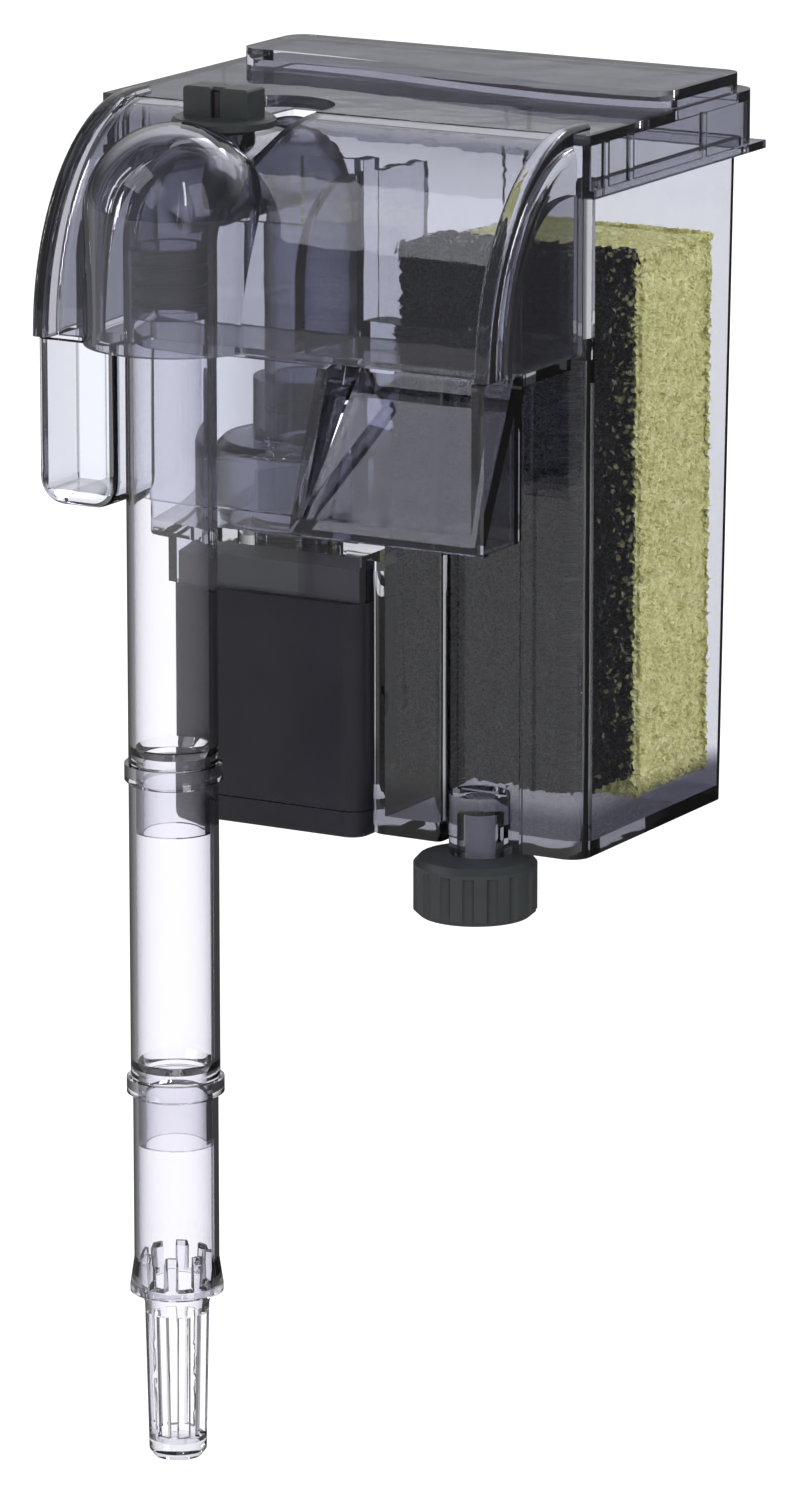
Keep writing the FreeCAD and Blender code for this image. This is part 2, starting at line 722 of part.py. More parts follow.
def intake_strainer():
    """Slotted basket whose eight prongs push up into the lowest tube."""
    top, low = "lower_end", "strainer_end"
    body = turned("intake_strainer", INTAKE,
                  [("tube_bore - 1.1", f"{top} + 6"), ("tube_bore - 0.5", f"{top} + 6"),
                   ("tube_bore - running_gap", f"{top} + 5"), ("tube_bore - running_gap", f"{top} + 0.8"),
                   ("strainer_radius + 0.3", f"{top} - 0.6"), ("strainer_radius", f"{top} - 2"),
                   ("strainer_radius - 0.5", f"{low} + 1"), ("strainer_radius - 1.2", low), ("0", low),
                   ("0", f"{low} + 2.4"), ("strainer_radius - 1.5", f"{low} + 2.4"),
                   ("strainer_radius - 1.0", f"{top} - 2")])
    for name, half, low_end, high_end in (("slot", "0.85", f"{low} + 3.4", f"{top} - 3.2"),
                                          ("prong_gap", "1.1", f"{top} + 0.9", f"{top} + 6.1")):
        slot = block(body, name, ("1.5", "pipe_radius + 1"), (f"-1 * {half}", half), (low_end, high_end),
                     cut=True)
        polar(body, f"{name}_ring", slot, "strainer_slots")
    return body


def spigot_seals():
    """Three black rubber rings on the elbow's spigot."""
    return torus_set("spigot_seals", INTAKE, "spigot_radius - 0.22", "0.26", seal_heights())


def elbow_foot_seal():
    return torus_set("elbow_foot_seal", PUMP, "pipe_radius - 0.23", "0.33", ["cover_top + 4.6"])


def torus_set(label, axis, major, minor, heights):
    """Rubber rings round one vertical axis."""
    rings = []
    for index, height in enumerate(heights):
        item = DOC.addObject("Part::Torus", f"{label}_{index}")
        item.setExpression("Radius1", bound(major))
        item.setExpression("Radius2", bound(minor))
        for letter, text in zip("xyz", (axis[0], axis[1], height)):
            item.setExpression(f"Placement.Base.{letter}", bound(text))
        rings.append(item)
    if len(rings) == 1:
        whole = rings[0]
    else:
        whole = DOC.addObject("Part::Compound", label)
        whole.Links = rings
    DOC.recompute()
    whole.Label = label
    PARTS.append(whole)
    return whole


# ---------------------------------------------------------------- flow control

def flow_knob():
    """Flanged knob with a waisted bar on top as its grip."""
    body = turned("flow_knob", KNOB,
                  [("0", "knob_low"), ("knob_radius", "knob_low"), ("knob_radius", "knob_low + 0.9"),
                   ("knob_radius - 0.4", "knob_low + 1.3"), ("0", "knob_low + 1.3")])
    half, waist = "grip_thickness / 2", "grip_thickness / 2 - 1"
    block(body, "grip", ("-1 * grip_half", "grip_half"), (f"-1 * {half}", half),
          ("knob_low + 1.2", "knob_top"))
    for name, side in (("front_waist", -1), ("rear_waist", 1)):
        edges = (f"{side} * ( {half} + 0.1 )", f"{side} * ( {waist} )")
        block(body, name, ("-0.8", "0.8"), edges, ("knob_low + 1.3", "knob_top + 1"), cut=True)
    top = size("knob_top")

    def rim(edge):
        limits = edge.BoundBox
        return limits.ZLength < 0.01 and abs(limits.ZMin - top) < 0.02

    fillet(body, "grip_round", "0.5", rim)
    disc(body, "spindle_hole", ("0", "0"), "spindle_radius + 0.02", ("knob_low", "knob_low + 5"), cut=True)
    return body


def flow_valve():
    """Butterfly disc on a spindle; it stands along the flow when open."""
    tip = "knob_low + 4.9"
    body = turned("flow_valve", KNOB,
                  [("0", "crown_height - 4.8"), ("1", "crown_height - 4.8"), ("1", "crown_height + 4.7"),
                   ("spindle_radius", "crown_height + 5.4"), ("spindle_radius", tip), ("0", tip)])
    extrude(body, "butterfly", "YZ", "-0.6", "0.6",
            lambda sketch: circle(sketch, ("0", "crown_height"), "4.9"))
    return body


def flow_knob_washer():
    low, top, bore = "knob_low - 0.85", "knob_low - 0.05", "spindle_radius + 0.1"
    return turned("flow_knob_washer", KNOB, [(bore, low), ("4.6", low), ("4.6", top), (bore, top)])


# ---------------------------------------------------------------- pump

MOTOR_X = ("motor_left", "motor_right")
MOTOR_Y = ("motor_front", "motor_back")


def inset(span, amount):
    return f"{span[0]} + {amount}", f"{span[1]} - ( {amount} )"


def motor_corners():
    """Chooser for the four upright edges of the motor's block."""
    xs = (size("motor_left"), size("motor_right"))
    ys = (size("motor_front"), size("motor_back"))
    return any_of(*(upright_at(x, y) for x in xs for y in ys))


def motor_housing():
    body = new_body("motor_housing")
    block(body, "shell", MOTOR_X, MOTOR_Y, ("motor_seam + 0.15", "motor_top"))
    fillet(body, "shell_round", "3.2", motor_corners())
    neck_x = ("motor_left + 0.9", "chamber_left - wall - 0.3")
    neck_y = ("wall + 0.3", "motor_back - wall + 0.7")
    block(body, "neck", neck_x, neck_y, ("motor_top - 0.5", "neck_top"))
    block(body, "hollow", inset(MOTOR_X, "wall"), inset(MOTOR_Y, "wall"), ("motor_seam", "motor_top - wall"),
          cut=True)
    block(body, "neck_hollow", inset(neck_x, "wall"), inset(neck_y, "wall"),
          ("motor_top - wall - 0.5", "neck_top - wall"), cut=True)
    disc(body, "well", PUMP, "well_radius", ("well_floor - 1.4", "pump_floor + base_plate - 0.1"))
    disc(body, "well_hollow", PUMP, "well_bore", ("well_floor", "pump_floor + base_plate"), cut=True)
    extrude(body, "cord_hole", "XZ", "motor_back + 1", "motor_back - wall - 1",
            lambda sketch: circle(sketch, ("pipe_side", "cord_height"), "2.7"), cut=True)
    return body


def motor_cover():
    body = new_body("motor_cover")
    block(body, "plate", MOTOR_X, MOTOR_Y, ("motor_low", "motor_seam"))
    fillet(body, "plate_round", "3.2", motor_corners())
    low = size("motor_low")

    def foot(edge):
        limits = edge.BoundBox
        return limits.ZLength < 0.01 and abs(limits.ZMin - low) < 0.02

    fillet(body, "foot_round", "1.1", foot)
    block(body, "plate_lip", inset(MOTOR_X, "wall + 0.2"), inset(MOTOR_Y, "wall + 0.2"),
          ("motor_seam - 0.2", "motor_seam + 1.4"))
    block(body, "plate_lip_hollow", inset(MOTOR_X, "2 * wall"), inset(MOTOR_Y, "2 * wall"),
          ("motor_seam - 1.2", "motor_seam + 1.5"), cut=True)
    return body


def stator_core():
    """U-shaped lamination stack whose two poles hug the rotor's well."""
    body = new_body("stator_core")
    through = ("core_low - 0.5", "core_top + 0.5")
    block(body, "stack", ("pipe_side - core_half", "pipe_side + core_half"), ("core_front", "core_back"),
          ("core_low", "core_top"))
    block(body, "window", ("pipe_side - limb_half", "pipe_side + limb_half"), ("core_front - 1", "yoke_front"),
          through, cut=True)
    disc(body, "pole_bore", PUMP, "well_radius + 0.2", through, cut=True)
    return body


def stator_coil():
    """Winding wrapped round the core's yoke."""
    body = new_body("stator_coil")
    block(body, "winding", ("pipe_side - coil_half", "pipe_side + coil_half"),
          ("yoke_front - 1", "core_back + 1.7"), ("core_low - 3.5", "core_top + 3.5"))
    block(body, "core_window", ("pipe_side - limb_half - 1", "pipe_side + limb_half + 1"),
          ("yoke_front - 0.1", "core_back + 0.1"), ("core_low - 0.1", "core_top + 0.1"), cut=True)
    return body


def rotor_magnet():
    top, low, bore = "pump_floor - 5.3", "well_floor + 3.4", "2.02"
    return turned("rotor_magnet", PUMP,
                  [(bore, low), ("magnet_radius", low), ("magnet_radius", top), (bore, top)])


def impeller():
    """Stem, back plate and straight blades."""
    low, plate, top, shoulder = "well_floor + 3.4", "pump_floor + 2.6", "cover_top - 3.8", "pump_floor - 5.25"
    bore = "shaft_radius + running_gap"
    body = turned("impeller", PUMP,
                  [(bore, low), ("2", low), ("2", shoulder), ("3", shoulder), ("3", plate),
                   ("impeller_radius", plate), ("impeller_radius", f"{plate} + 1.2"),
                   ("2.6", f"{plate} + 1.2"), ("2.6", top), (bore, top)])
    blade = block(body, "blade", ("2.2", "impeller_radius - 0.3"), ("-0.5", "0.5"),
                  (f"{plate} + 1.1", f"{top} - 0.4"))
    polar(body, "blades", blade, "blade_count")
    return body


def impeller_shaft():
    low, top = "well_floor + 0.5", "cover_top - 0.3"
    return turned("impeller_shaft", PUMP,
                  [("0", low), ("shaft_radius", low), ("shaft_radius", top), ("0", top)])


def bush(label, outside, low, top):
    bore = "shaft_radius + 0.02"
    return turned(label, PUMP, [(bore, low), (outside, low), (outside, top), (bore, top)])


def shaft_bush_lower():
    return bush("shaft_bush_lower", "3", "well_floor + 0.05", "well_floor + 2.8")


def shaft_bush_upper():
    return bush("shaft_bush_upper", "1.88", "cover_top - 1.5", "cover_top - 0.1")


def impeller_cover():
    """Volute cover on the pump chamber's floor, with a socket for the elbow's foot."""
    floor = "pump_floor + base_plate + 0.1"
    inner = "cover_radius - 1.5"
    roof = "cover_top - 1.6"
    collar, socket = "pipe_radius + 1.7", "pipe_radius + 0.12"
    body = turned("impeller_cover", PUMP,
                  [("eye_radius", roof), (inner, roof), (inner, floor), ("cover_radius", floor),
                   ("cover_radius", "cover_top - 1"), ("cover_radius - 1", "cover_top"), (collar, "cover_top"),
                   (collar, "socket_top"), (socket, "socket_top"), (socket, "cover_top + 0.1"),
                   ("eye_radius", "cover_top + 0.1")])
    disc(body, "hub", ("0", "0"), "2.8", (roof, "cover_top"))
    arm = block(body, "arm", ("2.4", "eye_radius + 0.3"), ("-0.6", "0.6"), (roof, "cover_top - 0.4"))
    polar(body, "arms", arm, "3")
    disc(body, "bush_seat", ("0", "0"), "1.9", (f"{roof} - 0.1", "cover_top + 0.2"), cut=True)
    block(body, "outlet", ("-5.5", "5.5"), ("7", "cover_radius + 1"), (f"{floor} + 1.2", f"{roof} - 1"),
          cut=True)
    return body


def motor_seal():
    return torus_set("motor_seal", PUMP, "well_radius + 0.7", "0.66", ["pump_floor + 1"])


def cord_grommet():
    """Rubber sleeve that seals the cord where it enters the motor."""
    body = new_body("cord_grommet")

    def round_at(radius):
        return lambda sketch: circle(sketch, ("pipe_side", "cord_height"), radius)

    extrude(body, "collar", "XZ", "motor_back + 3", "motor_back + 0.05", round_at("3.6"))
    extrude(body, "neck", "XZ", "motor_back + 0.1", "motor_back - wall", round_at("2.65"))
    extrude(body, "cord_way", "XZ", "motor_back + 4", "motor_back - wall - 1",
            round_at("cord_radius + running_gap"), cut=True)
    return body


def power_cord():
    """First stretch of the mains cord, cut short behind the motor."""
    body = new_body("power_cord")
    inner_end = "motor_back - wall + 0.1"
    straight, side = "motor_back + 4.4", "motor_back + 4.4 + cord_bend"
    knee = "cord_height - cord_bend"
    route = new_sketch(body, "route", "YZ", "pipe_side")
    bent_route(route, [(inner_end, "cord_height"), (straight, "cord_height"), (side, knee),
                       (side, "cord_height - cord_drop")], [((straight, knee), 0)], "cord_bend")
    section = new_sketch(body, "section", "XZ", f"-1 * ( {inner_end} )")
    circle(section, ("pipe_side", "cord_height"), "cord_radius")
    DOC.recompute()
    feature = body.newObject("PartDesign::AdditivePipe", "cord")
    feature.Profile = section
    feature.Spine = (route, ["Edge1", "Edge2", "Edge3"])
    body.Tip = feature
    DOC.recompute()
    return body


# ---------------------------------------------------------------- levelling knob and media

def levelling_pin():
    """Headed pin, fixed in the case, that the eccentric knob turns on."""
    low, head, top = "leveller_low + 0.3", "leveller_low + 1.7", "leveller_top + boss_bore_depth - 0.1"
    return turned("levelling_pin", ("leveller_side", "leveller_back"),
                  [("0", low), ("3.3", low), ("3.3", head), ("pin_radius", head), ("pin_radius", top),
                   ("0", top)])


def levelling_knob():
    """Round fluted knob on an off-centre bore: its rim bears on the glass and sets the filter upright."""
    axis = ("leveller_side", "leveller_back - leveller_offset")
    low, top, outside = "leveller_low", "leveller_top - 0.15", "leveller_radius"
    body = turned("levelling_knob", axis, [("0", low), (f"{outside} - 0.9", low), (outside, f"{low} + 0.8"),
                                           (outside, f"{top} - 0.9"), (f"{outside} - 0.8", top), ("0", top)])
    flute = disc(body, "flute", ("leveller_radius + 0.5", "0"), "1", (f"{low} - 0.1", f"{top} - 1.4"),
                 cut=True)
    polar(body, "flutes", flute, "leveller_flutes")
    disc(body, "pin_hole", ("0", "leveller_offset"), "pin_radius + running_gap", (f"{low} - 1", f"{top} + 1"),
         cut=True)
    disc(body, "head_room", ("0", "leveller_offset"), "3.5", (f"{low} - 1", f"{low} + 1.8"), cut=True)
    return body


def sponge(label, front, back, low, top):
    """Foam block that fills the media chamber's width."""
    body = new_body(label)
    side = ("chamber_left + wall + media_gap", "case_half - wall - media_gap")
    block(body, "foam", side, (front, back), (low, top))
    xs = [number(side[0]), number(side[1])]
    ys = [number(front), number(back)]
    fillet(body, "soft_edge", "1.2", any_of(*(upright_at(x, y) for x in xs for y in ys)))
    return body


def sponge_coarse():
    front = "recess_depth + wall + media_gap"
    return sponge("sponge_coarse", front, "media_split - 0.1", "coarse_low", "media_top")


def sponge_fine():
    return sponge("sponge_fine", "media_split + 0.1", "media_back", "fine_low", "media_top - 1")


# ---------------------------------------------------------------- writing

def check_document():
    for item in DOC.Objects:
        if {"Invalid", "Error"} & set(item.State):
            raise RuntimeError(f"{item.Label}: {item.State}")
    for part in PARTS:
        if part.Shape.isNull() or not part.Shape.isValid():
            raise RuntimeError(f"{part.Label}: shape is null or not valid")


def write_parts():
    os.makedirs("parts", exist_ok=True)
    for part in PARTS:
        part.Shape.exportStep(f"parts/{part.Label}.step")
        bounds = part.Shape.BoundBox
        print(f"{part.Label}: {len(part.Shape.Solids)} solid(s), volume {part.Shape.Volume:.1f}, "
              f"X {bounds.XMin:.1f} {bounds.XMax:.1f} Y {bounds.YMin:.1f} {bounds.YMax:.1f} "
              f"Z {bounds.ZMin:.1f} {bounds.ZMax:.1f}")


SUB_PARTS = [
    filter_case, lid,
    intake_elbow, spigot_seals, elbow_foot_seal, intake_tube_upper, intake_tube_middle, intake_tube_lower,
    intake_strainer, flow_knob, flow_valve, flow_knob_washer,
    motor_housing, motor_cover, motor_seal, stator_core, stator_coil, cord_grommet, power_cord,
    rotor_magnet, impeller, impeller_shaft, shaft_bush_lower, shaft_bush_upper, impeller_cover,
    levelling_pin, levelling_knob, sponge_coarse, sponge_fine,
]

fill_sheet()
for make in SUB_PARTS:
    make()
DOC.recompute()
check_document()
write_parts()
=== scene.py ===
"""Looks of the hang-on back filter: clear smoke-tinted mouldings, black mouldings and two foam blocks.

Metres, +Z up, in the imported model's frame. Places on the object come from the frame's own boxes.
"""

import math
import random

import bmesh
import bpy
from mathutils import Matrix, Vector, noise


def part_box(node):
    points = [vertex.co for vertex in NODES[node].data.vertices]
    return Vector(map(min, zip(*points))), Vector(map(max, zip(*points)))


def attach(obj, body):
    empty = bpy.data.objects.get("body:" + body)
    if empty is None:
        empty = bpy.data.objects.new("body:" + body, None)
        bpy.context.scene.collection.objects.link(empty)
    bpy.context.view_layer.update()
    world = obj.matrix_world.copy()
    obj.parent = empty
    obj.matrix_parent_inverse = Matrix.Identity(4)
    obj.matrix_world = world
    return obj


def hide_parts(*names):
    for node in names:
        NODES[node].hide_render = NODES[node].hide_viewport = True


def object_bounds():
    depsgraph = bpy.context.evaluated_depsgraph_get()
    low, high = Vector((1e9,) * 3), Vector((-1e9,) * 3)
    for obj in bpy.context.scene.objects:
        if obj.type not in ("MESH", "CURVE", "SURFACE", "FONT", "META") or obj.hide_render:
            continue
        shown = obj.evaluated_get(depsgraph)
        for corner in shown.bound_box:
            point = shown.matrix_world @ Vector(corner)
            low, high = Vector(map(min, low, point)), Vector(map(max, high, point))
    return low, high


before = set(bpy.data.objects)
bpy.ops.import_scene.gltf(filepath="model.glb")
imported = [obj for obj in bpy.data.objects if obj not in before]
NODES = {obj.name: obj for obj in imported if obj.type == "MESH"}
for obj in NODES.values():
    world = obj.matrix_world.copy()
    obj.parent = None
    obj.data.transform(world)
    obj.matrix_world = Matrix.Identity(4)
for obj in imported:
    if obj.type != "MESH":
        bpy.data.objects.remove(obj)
CAD_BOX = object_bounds()

MM = 0.001

# Camera: seen from the tank side, a little from the right and from above.
VIEW_AZIMUTH = math.radians(29.71)
VIEW_ELEVATION = math.radians(13.54)
VIEW_DISTANCE = 1.1464
VIEW_TARGET = Vector((0.00765, 0.0, -0.05853))
LENS = 190.2
SENSOR = 36.0


# ---------------------------------------------------------------- node helpers

class Graph:
    """The node tree of a material or of the world, with short calls to add and join nodes."""

    def __init__(self, owner, output_kind):
        owner.use_nodes = True
        self.tree = owner.node_tree
        self.tree.nodes.clear()
        self.out = self.add(output_kind)

    def add(self, kind, **settings):
        node = self.tree.nodes.new(kind)
        for key, value in settings.items():
            setattr(node, key, value)
        return node

    def join(self, source, target):
        self.tree.links.new(source, target)

    def feed(self, value, target):
        """Gives an input its value: a socket, a number or a colour."""
        if isinstance(value, bpy.types.NodeSocket):
            self.join(value, target)
        elif isinstance(value, (int, float)):
            target.default_value = value
        else:
            target.default_value = (*value, 1.0)

    def show(self, shader):
        self.join(shader.outputs[0], self.out.inputs["Surface"])

    def place(self):
        """Object position, so that patterns keep their real size."""
        return self.add("ShaderNodeTexCoord").outputs["Object"]

    def split(self, vector):
        """The X, Y and Z of a vector, as sockets."""
        node = self.add("ShaderNodeSeparateXYZ")
        self.join(vector, node.inputs[0])
        return node.outputs

    def noise(self, scale, detail=3.0, stretch=(1.0, 1.0, 1.0)):
        where = self.add("ShaderNodeMapping")
        where.inputs["Scale"].default_value = stretch
        self.join(self.place(), where.inputs["Vector"])
        node = self.add("ShaderNodeTexNoise")
        node.inputs["Scale"].default_value = scale
        node.inputs["Detail"].default_value = detail
        node.inputs["Roughness"].default_value = 0.55
        self.join(where.outputs["Vector"], node.inputs["Vector"])
        return node.outputs["Fac"]

    def cells(self, scale, feature="F1"):
        """Irregular cells, of which about scale go into a metre."""
        node = self.add("ShaderNodeTexVoronoi", feature=feature)
        node.inputs["Scale"].default_value = scale
        self.join(self.place(), node.inputs["Vector"])
        return node

    def layers(self, scale, distortion):
        """Level bands, one above the other."""
        node = self.add("ShaderNodeTexWave", bands_direction="Z")
        node.inputs["Scale"].default_value = scale
        node.inputs["Distortion"].default_value = distortion
        self.join(self.place(), node.inputs["Vector"])
        return node.outputs["Fac"]

    def span(self, source, low, high, from_low=0.0, from_high=1.0):
        """Maps a value onto a range."""
        node = self.add("ShaderNodeMapRange")
        node.inputs["From Min"].default_value = from_low
        node.inputs["From Max"].default_value = from_high
        node.inputs["To Min"].default_value = low
        node.inputs["To Max"].default_value = high
        self.join(source, node.inputs["Value"])
        return node.outputs["Result"]

    def maths(self, operation, first, second):
        """Clamped sum, product or other operation."""
        node = self.add("ShaderNodeMath", operation=operation, use_clamp=True)
        self.feed(first, node.inputs[0])
        self.feed(second, node.inputs[1])
        return node.outputs[0]

    def mix(self, share, first, second, kind="RGBA"):
        """The first colour or number at share 0, and the second at share 1."""
        node = self.add("ShaderNodeMix", data_type=kind)
        self.feed(first, node.inputs["A"])
        self.feed(second, node.inputs["B"])
        self.join(share, node.inputs["Factor"])
        return node.outputs["Result"]

    def inside(self, zone):
        """0 to 1 as a point passes from the start to the end of the zone's range along each of its axes."""
        place = self.split(self.place())
        share = 1.0
        for axis, (start, end) in zone.items():
            share = self.maths("MULTIPLY", self.span(place[axis], 0.0, 1.0, start, end), share)
        return share

    def specks(self, scale, share):
        """Small round dots, in a share of the cells that is given as a socket."""
        cells = self.cells(scale)
        chance = self.add("ShaderNodeSeparateColor")
        self.join(cells.outputs["Color"], chance.inputs[0])
        chosen = self.maths("LESS_THAN", chance.outputs[0], share)
        return self.maths("MULTIPLY", chosen, self.span(cells.outputs["Distance"], 1.0, 0.0, 0.30, 0.48))

    def bump(self, height, distance):
        node = self.add("ShaderNodeBump")
        node.inputs["Distance"].default_value = distance
        self.join(height, node.inputs["Height"])
        return node.outputs["Normal"]

    def principled(self, **values):
        node = self.add("ShaderNodeBsdfPrincipled")
        for key, value in values.items():
            node.inputs[key.replace("_", " ")].default_value = value
        return node

    def surface(self, shader, colour, roughness, normal):
        """Joins what every surface has."""
        self.join(colour, shader.inputs["Base Color"])
        self.join(roughness, shader.inputs["Roughness"])
        self.join(normal, shader.inputs["Normal"])

    def mirrored(self):
        """1 for a ray that something glossy has reflected on its way, 0 for any other."""
        path = self.add("ShaderNodeLightPath")
        return self.maths("MINIMUM", path.outputs["Glossy Depth"], 1.0)


# ---------------------------------------------------------------- materials

STYRENE_IOR = 1.5

# Scales of the noise patterns, per metre.
RIPPLES = 70.0
DYE = 120.0
SHEETS = 320.0
TURNS_OF_TAPE = 110.0
WIPED = 420.0
ROLLED = 500.0
FINE_WEAR = 900.0
SPARK_GRAIN = 2600.0

# A foam's second layer of pores is finer and fainter, with struts that are wider for their pores.
SMALL_PORES = 1.9
SMALL_STRUTS = 1.4
SMALL_PORE_SHARE = 0.6


def new_material(name):
    material = bpy.data.materials.new(name)
    return material, Graph(material, "ShaderNodeOutputMaterial")


def clear_plastic(name, tint, painted_edge_shade, roughness, ripple, edge_power=2.2, haze=0.0, thick=()):
    """Glossy see-through moulding, with painted shade that darkens its colour where it is seen edge on. Lamps
    reach what stands behind it.

    Thick lists deeper tints, each with its zone, a range in metres along one or more axes.
    """
    material, g = new_material(name)
    flow = g.noise(RIPPLES, detail=2.0, stretch=(1.0, 1.0, 0.4))
    facing = g.add("ShaderNodeLayerWeight")
    facing.inputs["Blend"].default_value = 0.5
    # Painted shade: the colour turns towards the dark edge colour where the surface is seen edge on, with
    # faint random streaks.
    edge = g.maths("POWER", facing.outputs["Facing"], edge_power)
    edge_shade_and_streaks = g.maths("ADD", edge, g.span(flow, -0.06, 0.06))
    colour = g.mix(edge_shade_and_streaks, tint, painted_edge_shade)
    for deep_tint, zone in thick:
        colour = g.mix(g.inside(zone), colour, deep_tint)
    worn = g.span(g.noise(FINE_WEAR), roughness * 0.6, roughness * 1.6)
    glass = g.principled(Transmission_Weight=1.0 - haze, IOR=STYRENE_IOR)
    g.surface(glass, colour, worn, g.bump(flow, ripple))
    passing = g.add("ShaderNodeBsdfTransparent")
    g.feed([0.25 + 0.75 * c for c in tint], passing.inputs["Color"])
    path = g.add("ShaderNodeLightPath")
    both = g.add("ShaderNodeMixShader")
    g.join(path.outputs["Is Shadow Ray"], both.inputs["Fac"])
    g.join(glass.outputs[0], both.inputs[1])
    g.join(passing.outputs[0], both.inputs[2])
    g.show(both)
    return material


def moulded(name, dark, light, roughness, grain=0.00002, specular=0.5):
    """Opaque moulded plastic or rubber with a fine spark-eroded grain."""
    material, g = new_material(name)
    colour = g.mix(g.noise(DYE), dark, light)
    worn = g.span(g.noise(WIPED), roughness * 0.8, roughness * 1.2)
    body = g.principled(Specular_IOR_Level=specular)
    g.surface(body, colour, worn, g.bump(g.noise(SPARK_GRAIN, detail=4.0), grain))
    g.show(body)
    return material


def laminations(name):
    """Stack of thin steel sheets seen on edge."""
    material, g = new_material(name)
    sheets = g.layers(SHEETS, distortion=0.3)
    colour = g.mix(sheets, (0.16, 0.15, 0.15), (0.5, 0.5, 0.52))
    worn = g.span(g.noise(ROLLED), 0.3, 0.55)
    steel = g.principled(Metallic=1.0)
    g.surface(steel, colour, worn, g.bump(sheets, 0.0001))
    g.show(steel)
    return material


def wound_tape(name):
    """Amber tape wound over the coil."""
    material, g = new_material(name)
    turns = g.layers(TURNS_OF_TAPE, distortion=0.6)
    colour = g.mix(turns, (0.36, 0.16, 0.02), (0.68, 0.38, 0.05))
    tape = g.principled(Roughness=0.3, Coat_Weight=0.4)
    g.join(colour, tape.inputs["Base Color"])
    g.join(g.bump(turns, 0.0002), tape.inputs["Normal"])
    g.show(tape)
    return material


def foam(name, pore, strut, pore_scale, strut_width, roughness, shine=None, lit_zone=None):
    """Open-cell foam: thin lighter struts round pores darkened by painted shade, at two sizes, with uneven
    dye.

    Light that comes through the open pores shows as specks, more of them towards the end of the lit zone.
    """
    material, g = new_material(name)
    masks = []
    for scale, width in ((pore_scale, strut_width), (pore_scale * SMALL_PORES, strut_width * SMALL_STRUTS)):
        edge = g.cells(scale, feature="DISTANCE_TO_EDGE").outputs["Distance"]
        masks.append(g.span(edge, 1.0, 0.0, 0.0, width))
    web = g.maths("MAXIMUM", masks[0], g.maths("MULTIPLY", masks[1], SMALL_PORE_SHARE))
    dyed = g.span(g.noise(pore_scale * 0.5, detail=1.0), 0.25, 1.25, 0.3, 0.7)
    # Painted shade: the pores take the dark pore colour, for the shade inside the open cells, and the struts
    # take the lighter strut colour.
    colour = g.mix(g.maths("MULTIPLY", web, dyed), pore, strut)
    if shine:
        share = g.span(g.inside(lit_zone), 0.0, 0.85)
        colour = g.mix(g.specks(pore_scale * 1.1, share), colour, shine)
    worn = g.span(g.noise(FINE_WEAR), roughness * 0.8, min(1.0, roughness * 1.2))
    body = g.principled(Specular_IOR_Level=0.15)
    g.surface(body, colour, worn, g.bump(web, 0.00025))
    g.show(body)
    return material


COARSE_LOW, COARSE_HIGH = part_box("sponge_coarse")
PUMP_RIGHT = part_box("impeller_cover")[1][0]
GLASS_GAP = 14 * MM

# The moulding is thicker in the chute, which hangs inside the tank, and in the base under the foam.
CHUTE_ZONE = {"Y": (-GLASS_GAP + 2 * MM, -GLASS_GAP - 2 * MM), "X": (PUMP_RIGHT - 10 * MM, PUMP_RIGHT)}
BASE_ZONE = {"Z": (COARSE_LOW[2], COARSE_LOW[2] - 3 * MM)}

# The fine foam behind the coarse one shines through its pores.
LIT_ZONE = {"Y": (COARSE_LOW[1] + 2.5 * MM, COARSE_HIGH[1])}

# The second colour of each clear plastic is painted shade for where it is seen edge on.
SMOKE = clear_plastic("smoke_clear", (0.905, 0.915, 0.96), (0.13, 0.13, 0.18), 0.02, 0.00006,
                      thick=(((0.50, 0.50, 0.58), CHUTE_ZONE), ((0.30, 0.30, 0.36), BASE_ZONE)))
HOOD = clear_plastic("smoke_hood", (0.53, 0.535, 0.60), (0.03, 0.03, 0.045), 0.025, 0.00008,
                     edge_power=1.8, haze=0.01)
TUBE = clear_plastic("clear_tube", (0.945, 0.94, 0.975), (0.24, 0.23, 0.33), 0.015, 0.00004,
                     edge_power=1.7)
KNOB = moulded("knob_plastic", (0.018, 0.021, 0.022), (0.030, 0.034, 0.036), 0.40)
DARK = moulded("dark_plastic", (0.012, 0.012, 0.014), (0.024, 0.024, 0.028), 0.4)
MOTOR = moulded("motor_plastic", (0.007, 0.007, 0.010), (0.013, 0.013, 0.018), 0.34, specular=0.35)
RUBBER = moulded("seal_rubber", (0.010, 0.010, 0.010), (0.022, 0.022, 0.022), 0.55, grain=0.00004)
CORD = moulded("cord_jacket", (0.010, 0.010, 0.010), (0.020, 0.020, 0.020), 0.5, grain=0.00004)
WHITE = moulded("impeller_plastic", (0.70, 0.71, 0.73), (0.82, 0.83, 0.85), 0.3)
CERAMIC = moulded("shaft_ceramic", (0.78, 0.75, 0.70), (0.88, 0.86, 0.82), 0.22)
MAGNET = moulded("magnet_ceramic", (0.030, 0.027, 0.027), (0.065, 0.060, 0.058), 0.5, grain=0.00006)
PIN = moulded("pin_steel", (0.42, 0.42, 0.43), (0.56, 0.56, 0.57), 0.3)
STEEL = laminations("lamination_steel")
TAPE = wound_tape("coil_wrap")
# The first colour of each foam is painted shade for its pores.
COARSE = foam("coarse_foam", (0.0005, 0.0005, 0.0008), (0.036, 0.036, 0.045), 700.0, 0.12, 0.5,
              shine=(0.30, 0.28, 0.16), lit_zone=LIT_ZONE)
FINE = foam("fine_foam", (0.62, 0.61, 0.23), (0.93, 0.90, 0.48), 1150.0, 0.34, 0.85)

